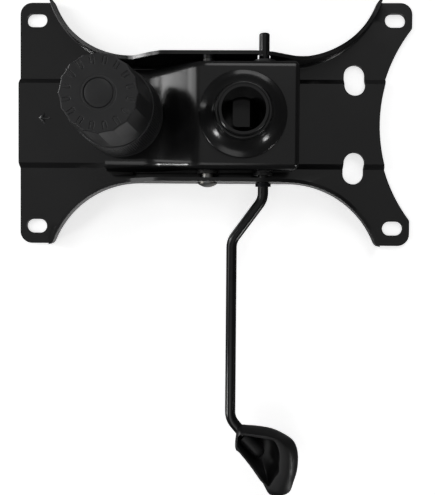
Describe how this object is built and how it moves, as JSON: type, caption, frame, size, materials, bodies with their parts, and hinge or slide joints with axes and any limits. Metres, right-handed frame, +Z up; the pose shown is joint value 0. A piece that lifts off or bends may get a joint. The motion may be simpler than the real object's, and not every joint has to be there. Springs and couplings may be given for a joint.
{
  "type": "office chair tilt mechanism",
  "caption": "Pressed steel seat plate that tilts on a gas-lift housing, with a spring tension knob and a bent release lever with a paddle.",
  "frame": {"origin": "centre of the four seat bolts, on the upper face of the seat plate that the seat rests on", "axes": "+Z up into the seat, +X to the back of the chair, +Y to the user's right, the lever's side"},
  "size_m": [0.2846, 0.3446, 0.1037],
  "materials": {
    "black_enamel": "gloss black baked enamel on pressed steel",
    "plain_steel": "drawn steel tube, oiled",
    "nylon": "moulded nylon",
    "black_nylon": "moulded black nylon",
    "black_steel": "black oxide on pressed steel",
    "stop_rubber": "moulded rubber",
    "spring_steel": "oil-hardened spring wire",
    "zinc": "zinc plated, head formed by riveting",
    "grip_plastic": "moulded polypropylene, fine spark texture",
    "black_rod": "black enamel on drawn steel rod",
    "paddle_plastic": "moulded polypropylene"
  },
  "bodies": {
    "fixed": {"housing": "black_enamel", "hub_cone": "black_enamel", "gas_lift_socket": "black_enamel", "axle_sleeve": "plain_steel", "axle_bushes": "nylon", "far_guide": "black_nylon", "spring_seat": "black_steel", "front_stop_pads": "stop_rubber", "rear_stop_pad": "stop_rubber", "main_spring": "spring_steel"},
    "seat": {"seat_plate": "black_enamel", "axle_pin": "zinc", "axle_washer": "zinc", "tension_bolt": "zinc", "bolt_nut": "zinc"},
    "carrier": {"thrust_washer": "black_steel"},
    "knob": {"tension_knob": "grip_plastic", "knob_nut": "zinc", "knob_cap": "grip_plastic"},
    "rocker": {"lever_bush": "black_nylon"},
    "lever": {"lever_rod": "black_rod", "release_tongue": "black_enamel", "lever_clip": "black_steel", "lever_paddle": "paddle_plastic"}
  },
  "joints": [
    {"name": "tilt", "type": "hinge", "parent": "fixed", "child": "seat", "pos_m": [-0.004, 0, -0.022], "axis": [0, 1, 0], "range_deg": [0, 12], "stiffness_Nm_per_rad": 60, "springref_deg": -5.73},
    {"name": "tension_travel", "type": "slide", "parent": "seat", "child": "carrier", "axis": [0, 0, 1], "range_m": [-0.008, 0], "deforming": ["main_spring"]},
    {"name": "tension_turn", "type": "hinge", "parent": "carrier", "child": "knob", "pos_m": [-0.0613, 0, -0.06], "axis": [0, 0, 1], "range_deg": [-1440, 0]},
    {"name": "lever_lift", "type": "hinge", "parent": "fixed", "child": "rocker", "pos_m": [0.0343, 0.0345, -0.0245], "axis": [1, 0, 0], "range_deg": [0, 4.2]},
    {"name": "lever_pull", "type": "slide", "parent": "rocker", "child": "lever", "axis": [0, 1, 0], "range_m": [0, 0.01]}
  ],
  "couplings": [
    {"joint": "tension_travel", "follows": "tension_turn", "m_per_rad": 0.0003183}
  ]
}
